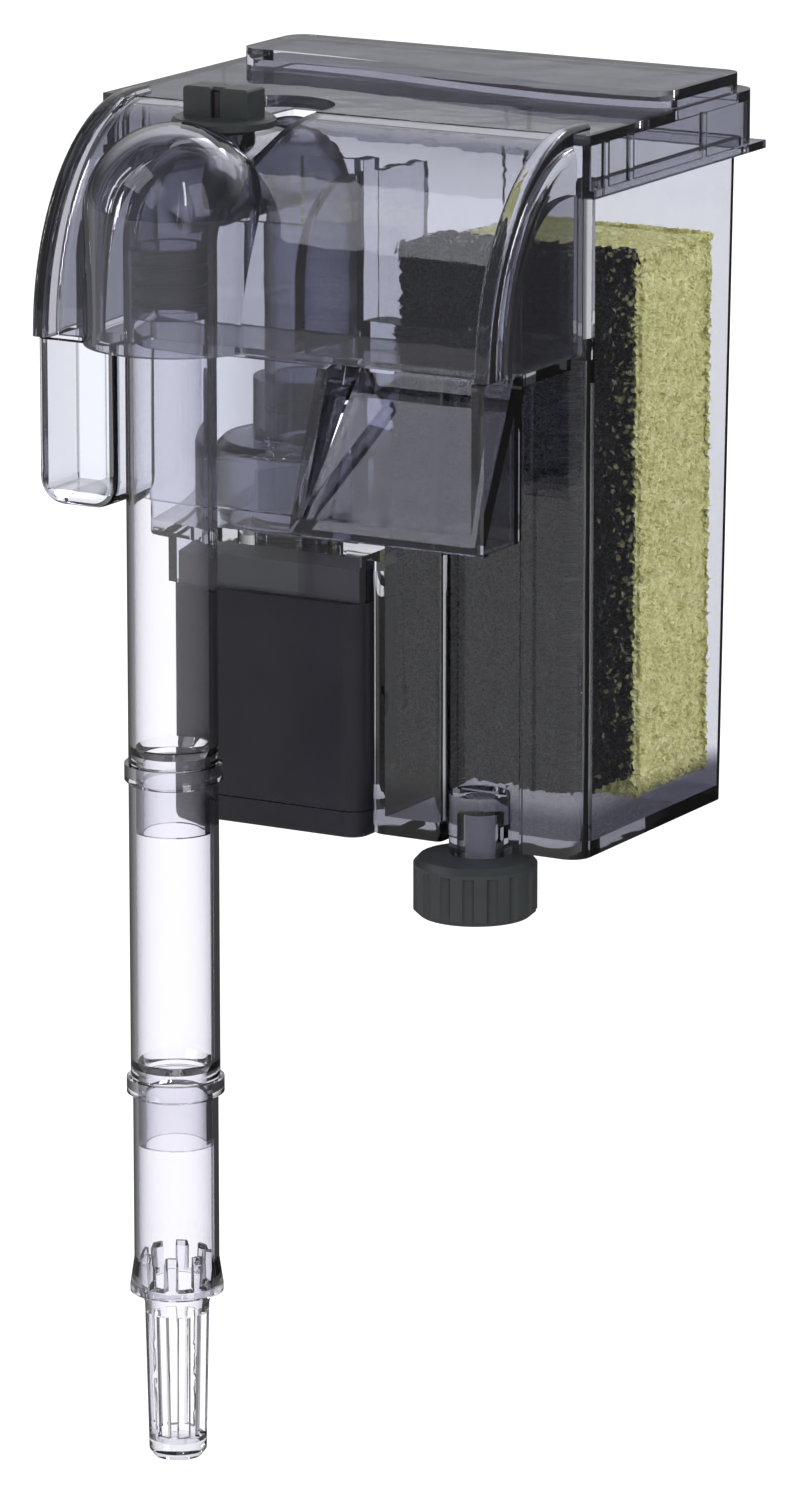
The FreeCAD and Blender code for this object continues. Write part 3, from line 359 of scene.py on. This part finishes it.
FINISH = {
    "filter_case": SMOKE, "lid": HOOD, "intake_elbow": HOOD, "impeller_cover": HOOD,
    "intake_tube_upper": TUBE, "intake_tube_middle": TUBE, "intake_tube_lower": TUBE, "intake_strainer": TUBE,
    "flow_knob": KNOB, "levelling_knob": KNOB, "flow_valve": DARK,
    "motor_housing": MOTOR, "motor_cover": MOTOR,
    "spigot_seals": RUBBER, "elbow_foot_seal": RUBBER, "flow_knob_washer": RUBBER, "motor_seal": RUBBER,
    "cord_grommet": RUBBER, "shaft_bush_lower": RUBBER, "shaft_bush_upper": RUBBER, "power_cord": CORD,
    "stator_core": STEEL, "stator_coil": TAPE, "rotor_magnet": MAGNET, "impeller": WHITE,
    "impeller_shaft": CERAMIC, "levelling_pin": PIN, "sponge_coarse": COARSE, "sponge_fine": FINE,
}


def paint(obj, material):
    slots = obj.material_slots
    if not slots:
        obj.data.materials.append(material)
    for slot in slots:
        slot.material = material


def add_object(name, data):
    obj = bpy.data.objects.new(name, data)
    bpy.context.scene.collection.objects.link(obj)
    return obj


def add_mesh(name, mesh):
    """An object from a bmesh, which is used up."""
    data = bpy.data.meshes.new(name)
    mesh.to_mesh(data)
    mesh.free()
    return add_object(name, data)


for node_name, material in FINISH.items():
    paint(NODES[node_name], material)


# ---------------------------------------------------------------- foam blocks

# Shares of a pore's width.
STRUT_RADIUS = 0.26
STRUT_WANDER = 0.2
RIDGE = 0.5
EDGE_REACH = 1.2

# A pit at a block's edge is deeper by this share.
EDGE_DEPTH = 0.6

# Shares of a loose strut's length: how far its tip may stay back, and how far it may lean.
TIP_DROP = 0.7
LEAN = 0.6
STRUTS_PER_SQUARE_MM = 0.3

ON_FACE = 0.001 * MM


def grid_box(low, high, step):
    """Closed box as a bmesh whose faces are cut into squares of about one step."""
    mesh = bmesh.new()
    size = high - low
    counts = [max(2, round(length / step)) for length in size]
    made = {}

    def corner(key):
        if key not in made:
            made[key] = mesh.verts.new(low + Vector(size[i] * key[i] / counts[i] for i in range(3)))
        return made[key]

    for axis in range(3):
        first, second = (axis + 1) % 3, (axis + 2) % 3
        for level in (0, counts[axis]):
            for a in range(counts[first]):
                for b in range(counts[second]):
                    loop = []
                    for da, db in ((0, 0), (1, 0), (1, 1), (0, 1)):
                        key = [0, 0, 0]
                        key[axis], key[first], key[second] = level, a + da, b + db
                        loop.append(corner(tuple(key)))
                    mesh.faces.new(loop if level else loop[::-1])
    return mesh


def pit_faces(mesh, low, high, pore, depth, inset, seed):
    """Sets a block's faces in by the inset, and by their pores, which leave ridges between them."""
    centre = (low + high) / 2
    half = (high - low) / 2
    shift = Vector((seed * 3.1, seed * 1.7, seed * 2.3))
    noise.seed_set(seed)
    for vert in mesh.verts:
        offset = vert.co - centre
        from_face = [half[i] - abs(offset[i]) for i in range(3)]
        spot = vert.co / pore + shift
        near = noise.voronoi(spot)[0]
        ridge = min(1.0, (near[1] - near[0]) / RIDGE)
        near_edge = max(0.0, 1.0 - sorted(from_face)[1] / (EDGE_REACH * pore))
        pit = depth * (1.0 + EDGE_DEPTH * near_edge) * ridge * ridge * (3 - 2 * ridge)
        inward = Vector(-math.copysign(1.0, offset[i]) if from_face[i] < ON_FACE else 0.0 for i in range(3))
        wander = noise.noise_vector(spot * 1.9) * (STRUT_WANDER * pore)
        vert.co += inward * (pit + inset) + wander


def add_strut(mesh, tip, root, axis, side, radius):
    """A closed three-sided spike that stands on its root, out along the axis."""
    first, second = (axis + 1) % 3, (axis + 2) % 3
    ring = []
    for turn in range(3):
        angle = turn * math.tau / 3
        foot = root.copy()
        foot[first] += radius * math.cos(angle)
        foot[second] += side * radius * math.sin(angle)
        ring.append(mesh.verts.new(foot))
    point = mesh.verts.new(tip)
    mesh.faces.new(ring[::-1])
    for here in range(3):
        mesh.faces.new((ring[here], ring[(here + 1) % 3], point))


def loose_struts(mesh, low, high, length, radius, seed):
    """Short cut-off struts that stand up from every face of a foam block."""
    dice = random.Random(seed)
    size = high - low
    for axis in range(3):
        first, second = (axis + 1) % 3, (axis + 2) % 3
        area = size[first] * size[second] / MM ** 2
        for side, face in ((-1.0, low[axis]), (1.0, high[axis])):
            for _ in range(round(area * STRUTS_PER_SQUARE_MM)):
                tip = Vector((0.0, 0.0, 0.0))
                tip[axis] = face - side * dice.uniform(0.0, TIP_DROP) * length
                tip[first] = low[first] + size[first] * dice.random()
                tip[second] = low[second] + size[second] * dice.random()
                root = tip.copy()
                root[axis] -= side * length
                root[first] += dice.uniform(-LEAN, LEAN) * length
                root[second] += dice.uniform(-LEAN, LEAN) * length
                add_strut(mesh, tip, root, axis, side, radius)


def keep_within(mesh, low, high):
    for vert in mesh.verts:
        for axis in range(3):
            vert.co[axis] = min(max(vert.co[axis], low[axis]), high[axis])


def foam_block(name, node, body, material, pore, step, depth, inset, seed):
    """Foam cut from a larger slab: every face is pitted by its pores, and ragged with loose struts."""
    low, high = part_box(node)
    mesh = grid_box(low, high, step)
    pit_faces(mesh, low, high, pore, depth, inset, seed)
    loose_struts(mesh, low, high, 1.4 * inset + 0.3 * depth, STRUT_RADIUS * pore, seed)
    keep_within(mesh, low, high)
    block = add_mesh(name, mesh)
    paint(block, material)
    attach(block, body)
    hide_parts(node)


foam_block("coarse_foam_block", "sponge_coarse", "coarse_sponge", COARSE,
           pore=1.45 * MM, step=0.33 * MM, depth=1.2 * MM, inset=1.1 * MM, seed=1)
foam_block("fine_foam_block", "sponge_fine", "fine_sponge", FINE,
           pore=1.0 * MM, step=0.37 * MM, depth=0.7 * MM, inset=0.9 * MM, seed=2)


# ---------------------------------------------------------------- stage

FLOOR_GLOW = 0.88
FLOOR_HALF_WIDTH = 12.0
SKY = (0.97, 0.98, 1.0)

# Lamps: name, place, width and height in metres, power in watts, and whether reflections show it.
LAMPS = (
    ("key", (-0.9, -0.9, 1.3), (0.9, 0.9), 13.0, False),
    ("fill", (1.3, -0.5, 0.7), (0.6, 1.2), 8.0, False),
    ("back", (0.3, 1.3, 1.1), (1.4, 0.7), 12.0, False),
    ("strip_left", (-1.0, -0.5, 0.5), (0.05, 1.0), 1.5, True),
    ("strip_right", (0.9, -0.9, 0.9), (0.05, 0.8), 1.5, True),
)


def aim(obj, place):
    """Puts a camera or lamp at a place and turns it to the object."""
    obj.location = place
    obj.rotation_euler = (VIEW_TARGET - Vector(place)).to_track_quat("-Z", "Y").to_euler()


def make_camera():
    data = bpy.data.cameras.new("camera")
    data.sensor_fit = "AUTO"
    data.sensor_width = SENSOR
    data.lens = LENS
    data.clip_start = 0.01
    data.clip_end = 50.0
    camera = add_object("camera", data)
    flat = math.cos(VIEW_ELEVATION)
    towards_viewer = Vector((math.sin(VIEW_AZIMUTH) * flat, -math.cos(VIEW_AZIMUTH) * flat,
                             math.sin(VIEW_ELEVATION)))
    aim(camera, VIEW_TARGET + towards_viewer * VIEW_DISTANCE)
    bpy.context.scene.camera = camera


def make_floor():
    """White paper that glows faintly, so that it is white behind the clear parts but dim in reflections."""
    mesh = bmesh.new()
    bmesh.ops.create_grid(mesh, x_segments=4, y_segments=4, size=FLOOR_HALF_WIDTH)
    floor = add_mesh("floor", mesh)
    floor.location.z = CAD_BOX[0][2] - 0.5 * MM
    material, g = new_material("floor_white")
    straight = g.mix(g.noise(3.0), (0.19, 0.19, 0.19), (0.21, 0.21, 0.21))
    paper = g.principled(Roughness=0.9, Specular_IOR_Level=0.1)
    g.join(g.mix(g.mirrored(), straight, (0.0, 0.0, 0.0)), paper.inputs["Base Color"])
    bearing = g.split(g.add("ShaderNodeNewGeometry").outputs["Incoming"])
    in_reflections = g.span(bearing["Y"], 0.05, 0.66, -0.8, 0.8)
    glow = g.add("ShaderNodeEmission")
    g.join(g.mix(g.mirrored(), FLOOR_GLOW, in_reflections, kind="FLOAT"), glow.inputs["Strength"])
    both = g.add("ShaderNodeAddShader")
    g.join(paper.outputs[0], both.inputs[0])
    g.join(glow.outputs[0], both.inputs[1])
    g.show(both)
    paint(floor, material)


def make_world():
    """White round about, and dim in reflections, so that clear edges draw themselves in dark lines."""
    world = bpy.data.worlds.new("studio")
    bpy.context.scene.world = world
    g = Graph(world, "ShaderNodeOutputWorld")
    bearing = g.split(g.add("ShaderNodeTexCoord").outputs["Generated"])
    in_front = g.span(bearing["Y"], 0.26, 0.03, -0.8, 0.8)
    behind = g.span(bearing["Y"], 0.0, 1.0, 0.3, 0.7)
    above = g.maths("MULTIPLY", g.span(bearing["Z"], 0.0, 1.0, 0.05, 0.3), behind)
    in_reflections = g.maths("MAXIMUM", in_front, above)
    background = g.add("ShaderNodeBackground")
    g.feed(SKY, background.inputs["Color"])
    g.join(g.mix(g.mirrored(), 1.0, in_reflections, kind="FLOAT"), background.inputs["Strength"])
    g.show(background)


def make_lamps():
    for name, place, size, power, seen_in_reflections in LAMPS:
        data = bpy.data.lights.new(name, "AREA")
        data.shape = "RECTANGLE"
        data.size, data.size_y = size
        data.energy = power
        lamp = add_object(name, data)
        aim(lamp, place)
        lamp.visible_glossy = seen_in_reflections


make_camera()
make_floor()
make_world()
make_lamps()
bpy.context.scene.view_settings.view_transform = "Standard"
